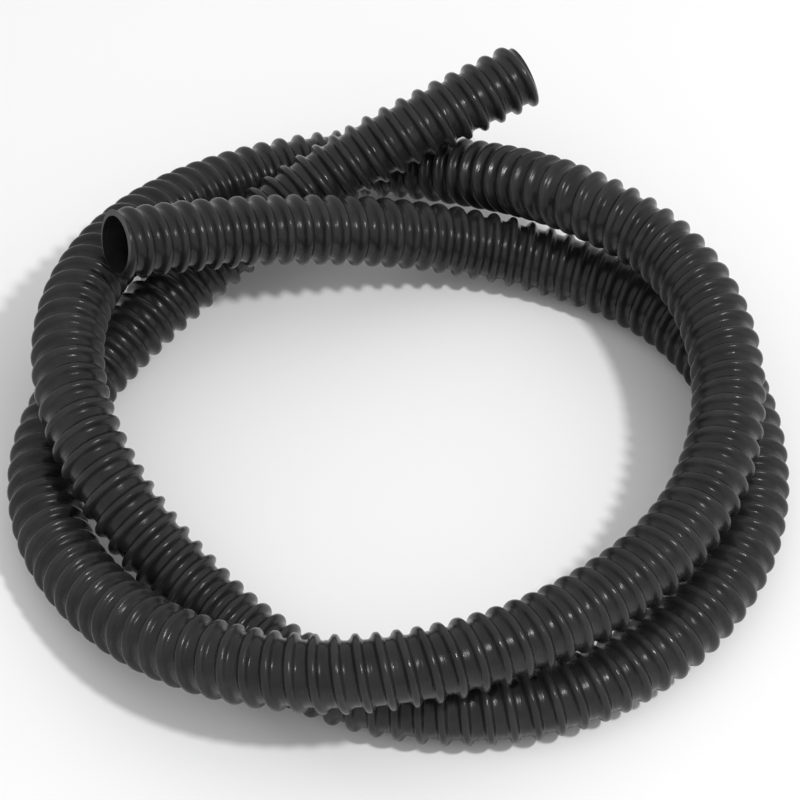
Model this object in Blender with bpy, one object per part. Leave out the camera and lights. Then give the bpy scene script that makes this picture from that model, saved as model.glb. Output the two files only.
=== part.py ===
"""A 1 1/2 inch spiral vacuum hose, lying in two loose turns with both of its plain ends free.

The hose is two pieces of PVC: a thin flexible wall, open from end to end, and a rigid spiral rib
wound round it. Both follow one centreline. The rib's turns count its length, so each piece is
laid out in eighths of a turn, and it is held in stretches: the stretches of the coil lie still,
and those of the two free ends lift, swing and curl about their hinges.
Metres, +Z up. The origin is on the floor below the middle of the coil.
"""

import math

import bpy
import numpy as np

# The flexible wall and the rigid spiral rib on it.
BORE_RADIUS = 0.0190
WALL_RADIUS = 0.0200
RIB_BASE_RADIUS = 0.0213
RIB_CREST_RADIUS = 0.0240
RIB_BASE_WIDTH = 0.0055
RIB_TURNS = 234
SIDES = 8
WALL_SPAN_SIDES = 17  # a wall ring about every two turns of the rib
END_MARGIN = RIB_BASE_WIDTH / 2 + 0.0004  # from each cut end to the middle of the rib's first turn
JOINT_GAP = 0.0004  # between two stretches that meet
SAMPLES_PER_SPAN = 40
UP = np.array([0.0, 0.0, 1.0])

# The centreline passes through these points, from the cut end A to the cut end B.
ROUTE = [
    (0.087, 0.249, 0.098), (0.011, 0.211, 0.082), (-0.063, 0.178, 0.056), (-0.132, 0.126, 0.036),
    (-0.188, 0.064, 0.026), (-0.227, -0.011, 0.024), (-0.225, -0.091, 0.025), (-0.188, -0.158, 0.035),
    (-0.127, -0.213, 0.056), (-0.041, -0.241, 0.072), (0.042, -0.229, 0.074), (0.118, -0.187, 0.068),
    (0.180, -0.124, 0.068), (0.210, -0.047, 0.074), (0.207, 0.035, 0.080), (0.174, 0.100, 0.082),
    (0.121, 0.145, 0.079), (0.051, 0.207, 0.042), (-0.036, 0.231, 0.028), (-0.115, 0.206, 0.033),
    (-0.176, 0.143, 0.056), (-0.208, 0.076, 0.072), (-0.214, -0.009, 0.077), (-0.183, -0.087, 0.057),
    (-0.131, -0.145, 0.029), (-0.065, -0.203, 0.024), (0.017, -0.231, 0.024), (0.102, -0.223, 0.024),
    (0.173, -0.178, 0.024), (0.220, -0.106, 0.024), (0.230, -0.020, 0.024), (0.203, 0.066, 0.024),
    (0.138, 0.123, 0.024), (0.058, 0.145, 0.033), (-0.028, 0.129, 0.065), (-0.112, 0.103, 0.091),
    (-0.186, 0.068, 0.116),
]

# Where one stretch ends and the next begins, in turns of the rib from end A.
END_A_TURNS = 5
SWING_A_TURNS = 9
LINK_A_TURNS = 12
LIFT_A_TURNS = 17
LIFT_B_TURNS = 212
LINK_B_TURNS = 218
CURL_B_TURNS = 224
END_B_TURNS = 229
COIL_STRETCHES = 20
HINGE_TURNS = {"lift_a": 14.5, "swing_a": 7, "lift_b": 215, "curl_b": 226.5}
HINGE_PARENTS = {"lift_a": "coil", "swing_a": "lift_a", "lift_b": "coil", "curl_b": "lift_b"}

# Colour, roughness and metallic value of each of the two PVC grades.
WALL_LOOK = ((0.030, 0.031, 0.033, 1.0), 0.42, 0.0)
RIB_LOOK = ((0.040, 0.041, 0.043, 1.0), 0.33, 0.0)


def clear_scene():
    for scene_object in list(bpy.data.objects):
        bpy.data.objects.remove(scene_object, do_unlink=True)


def smooth_curve(points):
    """Close-set points of the natural cubic spline through the given ones, by chord length."""
    points = np.array(points)
    spans = np.linalg.norm(np.diff(points, axis=0), axis=1)
    slopes = np.diff(points, axis=0) / spans[:, None]
    system = np.eye(len(points))
    change = np.zeros_like(points)
    for i in range(1, len(points) - 1):
        system[i, i - 1:i + 2] = spans[i - 1], 2 * (spans[i - 1] + spans[i]), spans[i]
        change[i] = 6 * (slopes[i] - slopes[i - 1])
    bends = np.linalg.solve(system, change)
    curve = []
    for i, span in enumerate(spans):
        for b in np.linspace(0, 1, SAMPLES_PER_SPAN, endpoint=False):
            a = 1 - b
            bent = (a**3 - a) * bends[i] + (b**3 - b) * bends[i + 1]
            curve.append(a * points[i] + b * points[i + 1] + bent * span**2 / 6)
    curve.append(points[-1])
    return np.array(curve)


class Centreline:
    """The hose's middle line, read by the length along it from end A."""

    def __init__(self, points):
        self.points = smooth_curve(points)
        self.points[:, 2] = np.maximum(self.points[:, 2], RIB_CREST_RADIUS)
        steps = np.linalg.norm(np.diff(self.points, axis=0), axis=1)
        self.lengths = np.concatenate([[0.0], np.cumsum(steps)])
        self.length = self.lengths[-1]
        self.headings = np.gradient(self.points, self.lengths, axis=0)

    def read(self, table, length):
        return np.array([np.interp(length, self.lengths, table[:, k]) for k in range(3)])

    def frame(self, length):
        """The centre there, and the unit vectors across the hose and up from it."""
        heading = self.read(self.headings, length)
        heading /= np.linalg.norm(heading)
        across = np.cross(UP, heading)
        across /= np.linalg.norm(across)
        return self.read(self.points, length), across, np.cross(heading, across)

    def around(self, length, radius, side):
        """The point at that length and radius; side counts round the hose in eighths of a turn."""
        centre, across, up = self.frame(length)
        angle = 2 * math.pi * side / SIDES
        return centre + radius * (math.cos(angle) * across + math.sin(angle) * up)


class Hose:
    """The centreline with the rib's turns counted along it."""

    def __init__(self):
        self.line = Centreline(ROUTE)
        self.pitch = (self.line.length - 2 * END_MARGIN) / RIB_TURNS

    def length_at(self, turns):
        return END_MARGIN + self.pitch * turns

    def wall_mesh(self, first, last):
        """An open tube between two counts of turns, with an annular face at each end."""
        start = 0.0 if first == 0 else self.length_at(first) + JOINT_GAP / 2
        end = self.line.length if last == RIB_TURNS else self.length_at(last) - JOINT_GAP / 2
        spans = max(1, round((last - first) * SIDES / WALL_SPAN_SIDES))
        points = []
        for length in np.linspace(start, end, spans + 1):
            for radius in (WALL_RADIUS, BORE_RADIUS):
                points += [self.line.around(length, radius, side) for side in range(SIDES)]
        faces = []
        for ring in range(spans):
            outer = ring * 2 * SIDES
            inner = outer + SIDES
            for side in range(SIDES):
                faces += quad(outer, outer + 2 * SIDES, side, outward=True)
                faces += quad(inner, inner + 2 * SIDES, side, outward=False)
        for side in range(SIDES):
            faces += quad(SIDES, 0, side, outward=True)
            faces += quad(spans * 2 * SIDES, spans * 2 * SIDES + SIDES, side, outward=True)
        return points, faces

    def rib_mesh(self, first, last):
        """A three-sided bar wound round the wall between two counts of turns."""
        trim = JOINT_GAP / 2 / (RIB_BASE_RADIUS * 2 * math.pi / SIDES)
        places = [float(side) for side in range(first * SIDES, last * SIDES + 1)]
        places[0] += trim
        places[-1] -= trim
        points = []
        for side in places:
            length = self.length_at(side / SIDES)
            points.append(self.line.around(length - RIB_BASE_WIDTH / 2, RIB_BASE_RADIUS, side))
            points.append(self.line.around(length + RIB_BASE_WIDTH / 2, RIB_BASE_RADIUS, side))
            points.append(self.line.around(length, RIB_CREST_RADIUS, side))
        faces = [(0, 2, 1)]
        for step in range(len(places) - 1):
            here = 3 * step
            for k in range(3):
                a, b = here + k, here + (k + 1) % 3
                faces += [(a, b, a + 3), (b, b + 3, a + 3)]
        end = 3 * (len(places) - 1)
        faces.append((end, end + 1, end + 2))
        return points, faces


def quad(ring, next_ring, side, outward):
    """Two triangles between one side of a ring and the same side of the next."""
    following = (side + 1) % SIDES
    a, b = ring + side, ring + following
    c, d = next_ring + side, next_ring + following
    return [(a, b, c), (b, d, c)] if outward else [(a, c, b), (b, c, d)]


def make_material(name, look):
    colour, roughness, metallic = look
    material = bpy.data.materials.new(name)
    material.use_nodes = True
    shader = material.node_tree.nodes["Principled BSDF"]
    shader.inputs["Base Color"].default_value = colour
    shader.inputs["Roughness"].default_value = roughness
    shader.inputs["Metallic"].default_value = metallic
    return material


def make_hinge(name, place, parent=None):
    """An empty on a joint's axis, which carries the stretches that move about it."""
    hinge = bpy.data.objects.new(name, None)
    bpy.context.collection.objects.link(hinge)
    hinge.parent = parent
    hinge.location = place - (np.array(parent["place"]) if parent else np.zeros(3))
    hinge["place"] = [float(value) for value in place]
    return hinge


def make_object(name, shape, material, hinge):
    """One solid, whose origin is on its hinge."""
    points, faces = shape
    origin = np.array(hinge["place"])
    mesh = bpy.data.meshes.new(name)
    mesh.from_pydata([tuple(point - origin) for point in points], [], faces)
    mesh.materials.append(material)
    mesh.shade_smooth()
    mesh.set_sharp_from_angle(angle=math.radians(50))
    solid = bpy.data.objects.new(name, mesh)
    solid.parent = hinge
    bpy.context.collection.objects.link(solid)


def stretches():
    """Each stretch's name, its first and last count of turns, and the hinge that it moves with."""
    yield "end_a", 0, END_A_TURNS, "swing_a"
    yield "flex_a_swing", END_A_TURNS, SWING_A_TURNS, "lift_a"
    yield "link_a", SWING_A_TURNS, LINK_A_TURNS, "lift_a"
    yield "flex_a_lift", LINK_A_TURNS, LIFT_A_TURNS, "coil"
    joins = np.linspace(LIFT_A_TURNS, LIFT_B_TURNS, COIL_STRETCHES + 1).round().astype(int)
    for i in range(COIL_STRETCHES):
        yield f"coil_{i + 1:02d}", joins[i], joins[i + 1], "coil"
    yield "flex_b_lift", LIFT_B_TURNS, LINK_B_TURNS, "coil"
    yield "link_b", LINK_B_TURNS, CURL_B_TURNS, "lift_b"
    yield "flex_b_curl", CURL_B_TURNS, END_B_TURNS, "lift_b"
    yield "end_b", END_B_TURNS, RIB_TURNS, "curl_b"


def main():
    clear_scene()
    hose = Hose()
    hinges = {"coil": make_hinge("coil_origin", np.zeros(3))}
    for name, turns in HINGE_TURNS.items():
        place = hose.line.frame(hose.length_at(turns))[0]
        hinges[name] = make_hinge(f"{name}_hinge", place, hinges[HINGE_PARENTS[name]])
    wall_material = make_material("flexible_pvc", WALL_LOOK)
    rib_material = make_material("rigid_pvc", RIB_LOOK)
    for name, first, last, hinge in stretches():
        make_object(f"wall_{name}", hose.wall_mesh(first, last), wall_material, hinges[hinge])
        make_object(f"rib_{name}", hose.rib_mesh(first, last), rib_material, hinges[hinge])


main()
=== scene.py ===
"""The looks of a 38 mm spiral vacuum hose that lies in two loose turns on a pale floor.

The hose is a flexible PVC wall with a rigid PVC spiral wound round it. Both are built on the same
centreline and turns as their CAD solids, which they replace, in pieces that meet where one
turn of the spiral ends and the next begins. Next to each free end are two pieces, which stay where
they lie.
Metres, +Z up.
"""

import math

import bpy
import numpy as np
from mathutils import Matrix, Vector

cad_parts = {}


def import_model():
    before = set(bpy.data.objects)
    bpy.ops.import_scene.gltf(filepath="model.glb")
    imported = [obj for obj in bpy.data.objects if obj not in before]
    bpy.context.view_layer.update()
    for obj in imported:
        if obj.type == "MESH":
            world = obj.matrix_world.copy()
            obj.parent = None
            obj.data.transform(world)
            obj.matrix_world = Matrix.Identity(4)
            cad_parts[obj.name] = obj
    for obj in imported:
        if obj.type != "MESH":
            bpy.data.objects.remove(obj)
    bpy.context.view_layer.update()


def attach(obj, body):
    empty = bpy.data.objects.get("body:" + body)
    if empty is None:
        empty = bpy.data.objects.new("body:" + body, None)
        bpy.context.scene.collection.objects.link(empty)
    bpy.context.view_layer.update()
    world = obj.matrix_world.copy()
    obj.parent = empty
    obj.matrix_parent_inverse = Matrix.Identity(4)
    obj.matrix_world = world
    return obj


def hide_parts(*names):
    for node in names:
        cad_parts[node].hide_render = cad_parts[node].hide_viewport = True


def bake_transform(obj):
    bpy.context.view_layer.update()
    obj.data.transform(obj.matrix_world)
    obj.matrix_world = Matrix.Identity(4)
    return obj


# The hose.
BORE_RADIUS = 0.0190
VALLEY_RADIUS = 0.0200
CREST_RADIUS = 0.0240
RIB_TURNS = 234
END_MARGIN = 0.00315  # from each cut end to the middle of the rib's first turn
CREST_HALF_WIDTH = 0.0030  # where the rib has fallen to about a third of its height
CREST_ROUNDNESS = 3.5  # 2 gives a bell shape; more makes the crest rounder and the valley flatter
VALLEY_DISH = 0.1  # how far the valley's sides rise from its middle, of the crest's height
BORE_RIPPLE = 0.0004
SAMPLES_PER_SPAN = 40
UP = np.array([0.0, 0.0, 1.0])

# The meshes.
COLUMNS = 48  # round the hose
OUTER_ROWS = 16  # in each turn of the rib
BORE_ROWS = 4
UNROLLED = "unrolled"  # the point attribute that the textures read
BEAD_HALF_WIDTH = 0.0030
BEAD_RISE = 0.00006  # above the wall that it is bonded to
BEAD_SINK = 0.00015  # below it, at the bead's edges
BEAD_DEPTH = 0.0020  # how far the bead reaches into the wall under its middle
BEAD_POINTS = 9  # across the bead
BEAD_SQUARENESS = 8  # keeps the rise nearly out to the edges
SHARP_ANGLE = math.radians(60)

# The centreline passes through these points, from the cut end A to the cut end B.
ROUTE = [
    (0.087, 0.249, 0.098), (0.011, 0.211, 0.082), (-0.063, 0.178, 0.056), (-0.132, 0.126, 0.036),
    (-0.188, 0.064, 0.026), (-0.227, -0.011, 0.024), (-0.225, -0.091, 0.025), (-0.188, -0.158, 0.035),
    (-0.127, -0.213, 0.056), (-0.041, -0.241, 0.072), (0.042, -0.229, 0.074), (0.118, -0.187, 0.068),
    (0.180, -0.124, 0.068), (0.210, -0.047, 0.074), (0.207, 0.035, 0.080), (0.174, 0.100, 0.082),
    (0.121, 0.145, 0.079), (0.051, 0.207, 0.042), (-0.036, 0.231, 0.028), (-0.115, 0.206, 0.033),
    (-0.176, 0.143, 0.056), (-0.208, 0.076, 0.072), (-0.214, -0.009, 0.077), (-0.183, -0.087, 0.057),
    (-0.131, -0.145, 0.029), (-0.065, -0.203, 0.024), (0.017, -0.231, 0.024), (0.102, -0.223, 0.024),
    (0.173, -0.178, 0.024), (0.220, -0.106, 0.024), (0.230, -0.020, 0.024), (0.203, 0.066, 0.024),
    (0.138, 0.123, 0.024), (0.058, 0.145, 0.033), (-0.028, 0.129, 0.065), (-0.112, 0.103, 0.091),
    (-0.186, 0.068, 0.116),
]

# The two grades of PVC. The colours are those of the darkest and the lightest clouds. The rib's
# colours are painted lighter than the wall's: painted light on the crests, which catch more light
# than the valleys.
WALL_COLOURS = ((0.013, 0.013, 0.013, 1), (0.022, 0.022, 0.022, 1))
WALL_ROUGHNESS = (0.16, 0.30)
WALL_GRAIN = 0.00006
# The rib's cloud colours, painted lighter than the wall's as painted light on the crests.
RIB_CLOUD_COLOURS_PAINTED_LIGHTER = ((0.017, 0.017, 0.017, 1), (0.028, 0.028, 0.028, 1))
RIB_ROUGHNESS = (0.16, 0.28)
RIB_GRAIN = 0.00005
SPECULAR_LEVEL = 0.25
STREAK_DEPTH = 0.0003
CLOUD_SCALE = 55
STREAK_SCALE = 45
STREAK_STRETCH = 16  # how much closer the streaks are along the hose than round it
GRAIN_SCALE = 1500
NOISE_MIDDLE = (0.35, 0.65)  # most of a noise lies between these

# The floor and the light.
FLOOR_SIZE = 30
FLOOR_COLOURS = ((0.90, 0.90, 0.90, 1), (0.93, 0.93, 0.93, 1))
FLOOR_ROUGHNESS = 0.9
FLOOR_MOTTLE_SCALE = 2
WORLD_STRENGTH = 0.75
KEY_PLACE = (1.35, -0.95, 2.6)
KEY_SIZE = 0.28
KEY_POWER = 42

# The camera looks due +Y and down at its target.
CAMERA_TARGET = Vector((0.0007, 0.0125, 0.0240))
CAMERA_DISTANCE = 1.843
CAMERA_ELEVATION = math.radians(50)
CAMERA_LENS = 124.2
SENSOR_WIDTH = 36.0


class Piece:
    """A length of the hose, in turns of the rib, with the bodies that it moves with."""

    def __init__(self, name, first, last, bodies, bend, nodes):
        self.name = name
        self.first = first
        self.last = last
        self.bodies = bodies
        self.bend = bend
        self.nodes = nodes


COIL_NODES = [f"coil_{i + 1:02d}" for i in range(20)]
PIECES = [
    Piece("tail_a", 0, 12, ("tail_a_end", "tail_a_base"), (5.5, 8.5),
          ["end_a", "flex_a_swing", "link_a"]),
    Piece("root_a", 12, 17, ("tail_a_base", "coil"), (12.6, 16.4), ["flex_a_lift"]),
    Piece("coil", 17, 212, ("coil",), None, COIL_NODES),
    Piece("root_b", 212, 218, ("coil", "tail_b_base"), (212.6, 217.4), ["flex_b_lift"]),
    Piece("tail_b", 218, 234, ("tail_b_base", "tail_b_end"), (224.5, 228.5),
          ["link_b", "flex_b_curl", "end_b"]),
]


def smooth_curve(points):
    """Close-set points of the natural cubic spline through the given ones, by chord length."""
    points = np.array(points)
    spans = np.linalg.norm(np.diff(points, axis=0), axis=1)
    slopes = np.diff(points, axis=0) / spans[:, None]
    system = np.eye(len(points))
    change = np.zeros_like(points)
    for i in range(1, len(points) - 1):
        system[i, i - 1:i + 2] = spans[i - 1], 2 * (spans[i - 1] + spans[i]), spans[i]
        change[i] = 6 * (slopes[i] - slopes[i - 1])
    bends = np.linalg.solve(system, change)
    curve = []
    for i, span in enumerate(spans):
        for b in np.linspace(0, 1, SAMPLES_PER_SPAN, endpoint=False):
            a = 1 - b
            bent = (a**3 - a) * bends[i] + (b**3 - b) * bends[i + 1]
            curve.append(a * points[i] + b * points[i + 1] + bent * span**2 / 6)
    curve.append(points[-1])
    return np.array(curve)


def unit(vectors):
    return vectors / np.linalg.norm(vectors, axis=-1, keepdims=True)


class Hose:
    """The centreline, read by the length along it from end A, and the skin round it."""

    def __init__(self):
        self.points = smooth_curve(ROUTE)
        self.points[:, 2] = np.maximum(self.points[:, 2], CREST_RADIUS)
        steps = np.linalg.norm(np.diff(self.points, axis=0), axis=1)
        self.lengths = np.concatenate([[0.0], np.cumsum(steps)])
        self.length = self.lengths[-1]
        self.headings = np.gradient(self.points, self.lengths, axis=0)
        self.bends = np.gradient(unit(self.headings), self.lengths, axis=0)
        self.pitch = (self.length - 2 * END_MARGIN) / RIB_TURNS

    def read(self, table, lengths):
        return np.stack([np.interp(lengths, self.lengths, table[:, k]) for k in range(3)], axis=-1)

    def length_at(self, turns):
        return END_MARGIN + self.pitch * turns

    def centre(self, turns):
        return self.read(self.points, self.length_at(turns))

    def outward(self, lengths, angles):
        """The centres there, and the unit vectors from them at those angles round the hose."""
        headings = unit(self.read(self.headings, lengths))
        across = unit(np.cross(UP, headings))
        up = np.cross(headings, across)
        out = np.cos(angles)[..., None] * across + np.sin(angles)[..., None] * up
        return self.read(self.points, lengths), out

    def swell(self, lengths, angles):
        """0 in the middle of a valley and 1 on a crest. Crests keep their width in a bend."""
        phase = (lengths - END_MARGIN) / self.pitch - angles / (2 * math.pi)
        out = self.outward(lengths, angles)[1]
        stretch = 1 - VALLEY_RADIUS * np.sum(self.read(self.bends, lengths) * out, axis=-1)
        from_crest = np.abs(phase - np.round(phase)) * self.pitch * stretch
        crest = np.exp(-((from_crest / CREST_HALF_WIDTH) ** CREST_ROUNDNESS))
        dish = (1 + np.cos(2 * math.pi * phase)) / 2
        return (1 - VALLEY_DISH) * crest + VALLEY_DISH * dish

    def skin(self, lengths, angles, lift=0.0):
        centres, out = self.outward(lengths, angles)
        rise = self.swell(lengths, angles) * (CREST_RADIUS - VALLEY_RADIUS)
        return centres + (VALLEY_RADIUS + rise + lift)[..., None] * out

    def bore(self, lengths, angles):
        centres, out = self.outward(lengths, angles)
        return centres + (BORE_RADIUS + self.swell(lengths, angles) * BORE_RIPPLE)[..., None] * out

    def unrolled(self, lengths, angles):
        """Places on the hose as if it lay straight along Z, for textures that follow it."""
        across, up = VALLEY_RADIUS * np.cos(angles), VALLEY_RADIUS * np.sin(angles)
        return np.stack([across, up, lengths], axis=-1)


def helical_sheet(hose, first, last, rows, surface, start_id):
    """The points and faces of one surface of the wall, in rows that follow the rib.

    Past a cut end the rows are flattened on to the cut, where they all share one ring.
    Returns the points, the same places unrolled, the faces, and the ring's ids at each cut end.
    """
    low = first * rows if first > 0 else -2 * rows
    high = last * rows if last < RIB_TURNS else (last + 1) * rows
    row = np.arange(low, high + rows + 2)[:, None]
    column = np.arange(COLUMNS)[None, :]
    lengths = hose.length_at(row / rows + column / COLUMNS)
    angles = np.broadcast_to(2 * math.pi * column / COLUMNS, lengths.shape)
    before, after = lengths <= 0, lengths >= hose.length
    ids = np.arange(lengths.size).reshape(lengths.shape)
    ring_a = lengths.size + np.arange(COLUMNS)
    ring_b = ring_a + COLUMNS
    ids = np.where(before, ring_a[None, :], np.where(after, ring_b[None, :], ids))
    ring_angles = 2 * math.pi * np.arange(COLUMNS) / COLUMNS
    lengths = np.concatenate([
        np.clip(lengths, 0, hose.length).ravel(),
        np.zeros(COLUMNS), np.full(COLUMNS, hose.length)])
    angles = np.concatenate([angles.ravel(), ring_angles, ring_angles])
    count = high - low
    here = ids[:count]
    beyond = ids[1:count + 1]
    next_here = np.concatenate([here[:, 1:], ids[rows:count + rows, :1]], axis=1)
    next_beyond = np.concatenate([beyond[:, 1:], ids[rows + 1:count + rows + 1, :1]], axis=1)
    quads = np.stack([here, beyond, next_beyond, next_here], axis=-1).reshape(-1, 4)
    faces = []
    for quad in quads.tolist():
        face = list(dict.fromkeys(quad))
        if len(face) > 2:
            faces.append([corner + start_id for corner in face])
    return (surface(lengths, angles), hose.unrolled(lengths, angles), faces,
            ring_a + start_id, ring_b + start_id)


def make_mesh(name, points, unrolled, faces, material):
    """A smooth-shaded mesh with none of the points that no face uses."""
    used = sorted({corner for face in faces for corner in face})
    place = {corner: i for i, corner in enumerate(used)}
    mesh = bpy.data.meshes.new(name)
    mesh.from_pydata(
        [tuple(points[corner]) for corner in used], [],
        [[place[corner] for corner in face] for face in faces],
    )
    places = mesh.attributes.new(UNROLLED, "FLOAT_VECTOR", "POINT")
    places.data.foreach_set("vector", unrolled[used].astype(np.float32).ravel())
    mesh.materials.append(material)
    mesh.shade_smooth()
    mesh.set_sharp_from_angle(angle=SHARP_ANGLE)
    made = bpy.data.objects.new(name, mesh)
    bpy.context.collection.objects.link(made)
    return made


def wall_piece(hose, piece, material):
    """The wall between two counts of turns, with a square-cut rim where the hose ends."""
    outer, outer_places, outer_faces, outer_a, outer_b = helical_sheet(
        hose, piece.first, piece.last, OUTER_ROWS, hose.skin, 0)
    inner, inner_places, inner_faces, inner_a, inner_b = helical_sheet(
        hose, piece.first, piece.last, BORE_ROWS, hose.bore, len(outer))
    faces = [face[::-1] for face in outer_faces] + inner_faces
    for k in range(COLUMNS):
        after = (k + 1) % COLUMNS
        if piece.first == 0:
            faces.append([outer_a[k], outer_a[after], inner_a[after], inner_a[k]])
        if piece.last == RIB_TURNS:
            faces.append([outer_b[after], outer_b[k], inner_b[k], inner_b[after]])
    return make_mesh(
        f"hose_wall_{piece.name}", np.concatenate([outer, inner]),
        np.concatenate([outer_places, inner_places]), faces, material)


def rib_piece(hose, piece, material):
    """The spiral's rounded crest, standing a little proud of the wall that is bonded to it."""
    steps = (piece.last - piece.first) * COLUMNS
    turns = piece.first + np.arange(steps + 1)[:, None] / COLUMNS
    offsets = np.linspace(-1, 1, BEAD_POINTS)
    lifts = BEAD_RISE - (BEAD_RISE + BEAD_SINK) * offsets**BEAD_SQUARENESS
    offsets = np.append(offsets, 0.0)[None, :]
    lifts = np.append(lifts, -BEAD_DEPTH)[None, :]
    lengths = hose.length_at(turns) + BEAD_HALF_WIDTH * offsets
    angles = np.broadcast_to(2 * math.pi * turns, lengths.shape)
    points = hose.skin(lengths, angles, np.broadcast_to(lifts, lengths.shape)).reshape(-1, 3)
    places = hose.unrolled(lengths, angles).reshape(-1, 3)
    across = BEAD_POINTS + 1
    faces = []
    for step in range(steps):
        for k in range(across):
            a = step * across + k
            b = step * across + (k + 1) % across
            faces.append([a, b, b + across, a + across])
    if piece.first == 0:
        faces.append(list(range(across))[::-1])
    if piece.last == RIB_TURNS:
        faces.append([steps * across + k for k in range(across)])
    return make_mesh(f"spiral_rib_{piece.name}", points, places, faces, material)


def socket(material, name):
    return material.node_tree.nodes["Principled BSDF"].inputs[name]


def noise(material, place, stretch, scale, detail):
    """Noise over the unrolled hose, stretched by other scales round it and along it."""
    nodes, links = material.node_tree.nodes, material.node_tree.links
    mapping = nodes.new("ShaderNodeMapping")
    mapping.inputs["Scale"].default_value = (1, 1, stretch)
    links.new(place.outputs["Vector"], mapping.inputs["Vector"])
    texture = nodes.new("ShaderNodeTexNoise")
    texture.inputs["Scale"].default_value = scale
    texture.inputs["Detail"].default_value = detail
    links.new(mapping.outputs["Vector"], texture.inputs["Vector"])
    return texture.outputs["Fac"]


def spread(material, fac, low, high):
    """The noise's middle part spread out from low to high."""
    spread_out = material.node_tree.nodes.new("ShaderNodeMapRange")
    spread_out.inputs["From Min"].default_value = NOISE_MIDDLE[0]
    spread_out.inputs["From Max"].default_value = NOISE_MIDDLE[1]
    spread_out.inputs["To Min"].default_value = low
    spread_out.inputs["To Max"].default_value = high
    material.node_tree.links.new(fac, spread_out.inputs["Value"])
    return spread_out.outputs["Result"]


def bump(material, height, distance, under=None):
    """A bump of that depth in metres, on top of another bump where one is given."""
    nodes, links = material.node_tree.nodes, material.node_tree.links
    made = nodes.new("ShaderNodeBump")
    made.inputs["Distance"].default_value = distance
    links.new(height, made.inputs["Height"])
    if under is not None:
        links.new(under, made.inputs["Normal"])
    return made.outputs["Normal"]


def tint(material, fac, colours):
    """The base colour goes from the first of the colours to the second with the factor."""
    nodes, links = material.node_tree.nodes, material.node_tree.links
    mix = nodes.new("ShaderNodeMix")
    mix.data_type = "RGBA"
    mix.inputs["A"].default_value = colours[0]
    mix.inputs["B"].default_value = colours[1]
    links.new(fac, mix.inputs["Factor"])
    links.new(mix.outputs["Result"], socket(material, "Base Color"))


def pvc_material(name, colours, roughness, grain_depth):
    """Charcoal PVC: cloudy colour, uneven gloss, extrusion streaks round the hose, fine grain."""
    material = bpy.data.materials.new(name)
    material.use_nodes = True
    nodes, links = material.node_tree.nodes, material.node_tree.links
    place = nodes.new("ShaderNodeAttribute")
    place.attribute_name = UNROLLED
    clouds = noise(material, place, 1, CLOUD_SCALE, 6)
    streaks = noise(material, place, STREAK_STRETCH, STREAK_SCALE, 4)
    grain = noise(material, place, 1, GRAIN_SCALE, 2)
    tint(material, spread(material, clouds, 0, 1), colours)
    links.new(spread(material, streaks, *roughness), socket(material, "Roughness"))
    socket(material, "Specular IOR Level").default_value = SPECULAR_LEVEL
    fine = bump(material, grain, grain_depth)
    links.new(bump(material, streaks, STREAK_DEPTH, fine), socket(material, "Normal"))
    return material


def make_camera():
    data = bpy.data.cameras.new("camera")
    data.lens = CAMERA_LENS
    data.sensor_width = SENSOR_WIDTH
    camera = bpy.data.objects.new("camera", data)
    bpy.context.collection.objects.link(camera)
    back = Vector((0.0, -math.cos(CAMERA_ELEVATION), math.sin(CAMERA_ELEVATION)))
    camera.location = CAMERA_TARGET + CAMERA_DISTANCE * back
    camera.rotation_euler = (math.pi / 2 - CAMERA_ELEVATION, 0, 0)
    bpy.context.scene.camera = camera


def make_floor():
    bpy.ops.mesh.primitive_plane_add(size=FLOOR_SIZE)
    floor = bpy.context.object
    floor.name = "floor"
    material = bpy.data.materials.new("white_floor")
    material.use_nodes = True
    mottle = material.node_tree.nodes.new("ShaderNodeTexNoise")
    mottle.inputs["Scale"].default_value = FLOOR_MOTTLE_SCALE
    tint(material, mottle.outputs["Fac"], FLOOR_COLOURS)
    socket(material, "Roughness").default_value = FLOOR_ROUGHNESS
    floor.data.materials.append(material)


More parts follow.
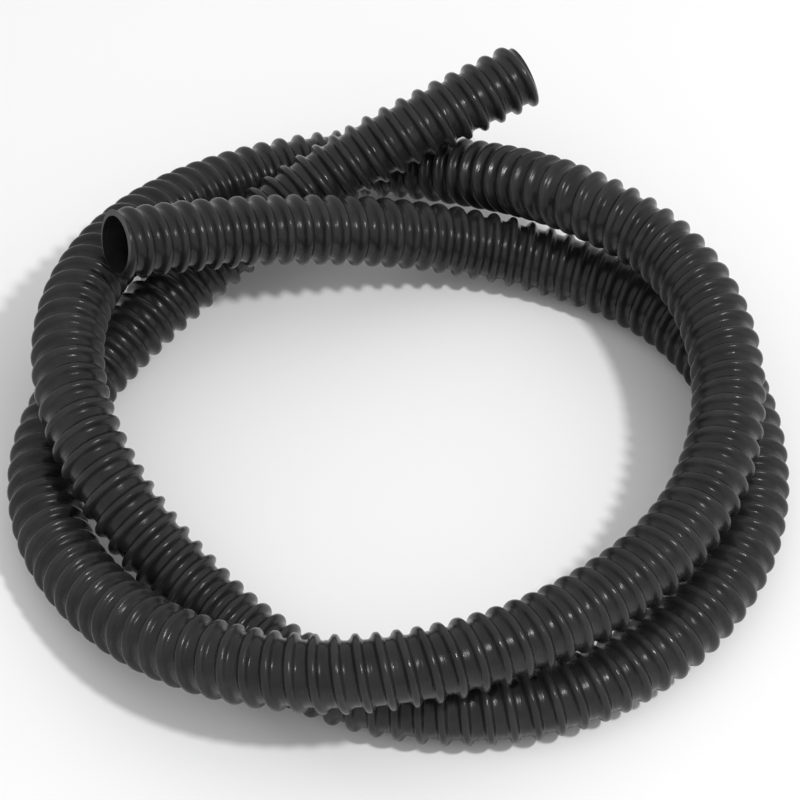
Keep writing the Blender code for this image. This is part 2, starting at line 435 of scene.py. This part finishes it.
def area_light(name, place, target, size, power):
    data = bpy.data.lights.new(name, "AREA")
    data.shape = "DISK"
    data.size = size
    data.energy = power
    light = bpy.data.objects.new(name, data)
    bpy.context.collection.objects.link(light)
    light.location = place
    light.rotation_euler = (Vector(target) - Vector(place)).to_track_quat("-Z", "Y").to_euler()


def make_lights():
    world = bpy.data.worlds.new("studio")
    world.use_nodes = True
    world.node_tree.nodes["Background"].inputs["Color"].default_value = (1, 1, 1, 1)
    world.node_tree.nodes["Background"].inputs["Strength"].default_value = WORLD_STRENGTH
    bpy.context.scene.world = world
    bpy.context.scene.view_settings.view_transform = "Standard"
    area_light("key", KEY_PLACE, (0, 0, 0), KEY_SIZE, KEY_POWER)


def make_hose(hose):
    """Every piece of the wall and of the rib, by the name of the piece. Only the pieces without a
    bend go on a body; the others are baked where they lie.
    """
    wall_material = pvc_material("flexible_pvc", WALL_COLOURS, WALL_ROUGHNESS, WALL_GRAIN)
    # The rib's material is painted lighter than the wall's: painted light on the crests.
    rib_material = pvc_material("rigid_pvc", RIB_CLOUD_COLOURS_PAINTED_LIGHTER, RIB_ROUGHNESS, RIB_GRAIN)
    walls = {}
    ribs = {}
    for piece in PIECES:
        walls[piece.name] = wall_piece(hose, piece, wall_material)
        ribs[piece.name] = rib_piece(hose, piece, rib_material)
        for made, prefix, slot in (
                (walls[piece.name], "wall", "hose_wall"), (ribs[piece.name], "rib", "spiral_rib")):
            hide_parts(*[f"{prefix}_{node}" for node in piece.nodes])
            if piece.bend is None:
                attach(made, piece.bodies[0])
            else:
                start, end = (hose.centre(turns) for turns in piece.bend)
                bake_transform(made)
    return walls, ribs


def declare_cord(hose, walls, ribs):
    """The coil is the hose's one still stretch. Its centreline and the other pieces are worked out
    here, but nothing is done with them.
    """
    coil = next(piece for piece in PIECES if piece.name == "coil")
    path = hose.centre(np.linspace(coil.first, coil.last, (coil.last - coil.first) * 2 + 1))
    pieces = [made for name in walls for made in (walls[name], ribs[name])]
    pieces.remove(walls["coil"])


def main():
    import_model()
    make_camera()
    hose = Hose()
    walls, ribs = make_hose(hose)
    declare_cord(hose, walls, ribs)
    make_floor()
    make_lights()


main()
